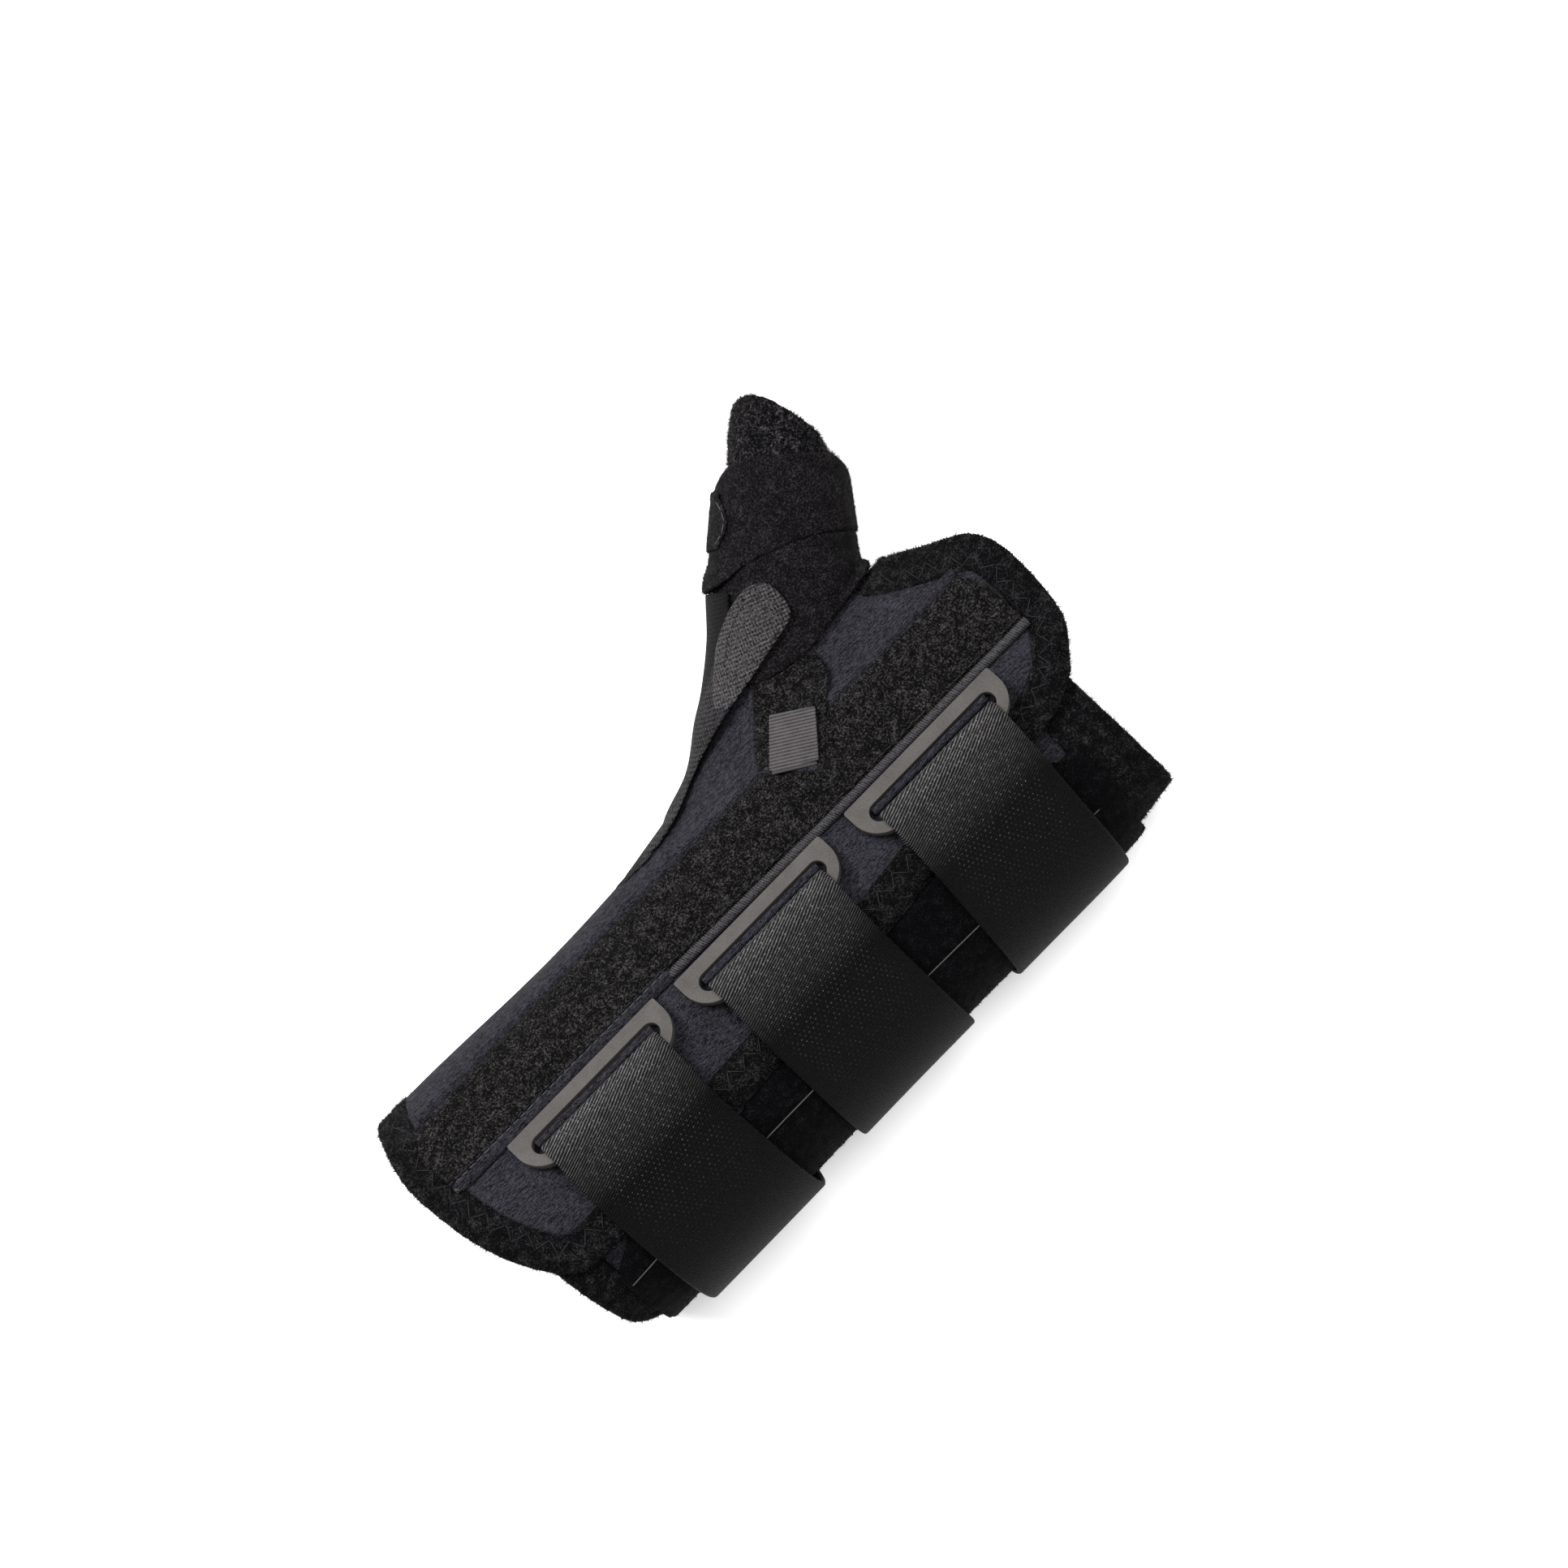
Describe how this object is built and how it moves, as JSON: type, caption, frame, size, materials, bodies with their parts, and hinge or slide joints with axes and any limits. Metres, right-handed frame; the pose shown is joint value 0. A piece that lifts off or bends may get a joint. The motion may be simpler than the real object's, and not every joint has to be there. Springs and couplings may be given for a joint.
{
  "type": "thumb spica splint",
  "caption": "Right-hand thumb spica splint in padded dark laminate with pile strips, elastic straps folded through grey rings, and a slanted thumb sleeve.",
  "frame": {"origin": "on the table under the wrist strap, below the middle of the wrist", "axes": "+X from the forearm to the fingers, +Y towards the thumb, +Z off the back of the hand"},
  "size_m": [0.2059, 0.1471, 0.0745],
  "materials": {
    "laminate": "brushed matte",
    "fleece": "fuzzy matte",
    "pile": "loop pile",
    "elastic": "woven matte",
    "grosgrain": "ribbed",
    "hook_weave": "coarse weave",
    "plastic": "matte"
  },
  "bodies": {
    "root": {"dorsal_panel": "laminate", "dorsal_binding": "fleece", "palmar_panel": "laminate", "palmar_binding_hand": "fleece", "palmar_binding_forearm": "fleece", "thumb_cuff": "fleece", "thumb_sleeve": "laminate", "thumb_band": "pile", "spica_band": "pile", "radial_strap": "elastic", "hook_tab": "hook_weave", "stay_sleeve": "pile", "stay_piping": "fleece", "pile_patch": "pile", "webbing_tab": "grosgrain", "ulnar_strip": "pile", "ring_forearm": "plastic", "strap_forearm": "elastic", "ring_wrist": "plastic", "strap_wrist": "elastic", "ring_hand": "plastic", "strap_hand": "elastic"}
  },
  "joints": []
}
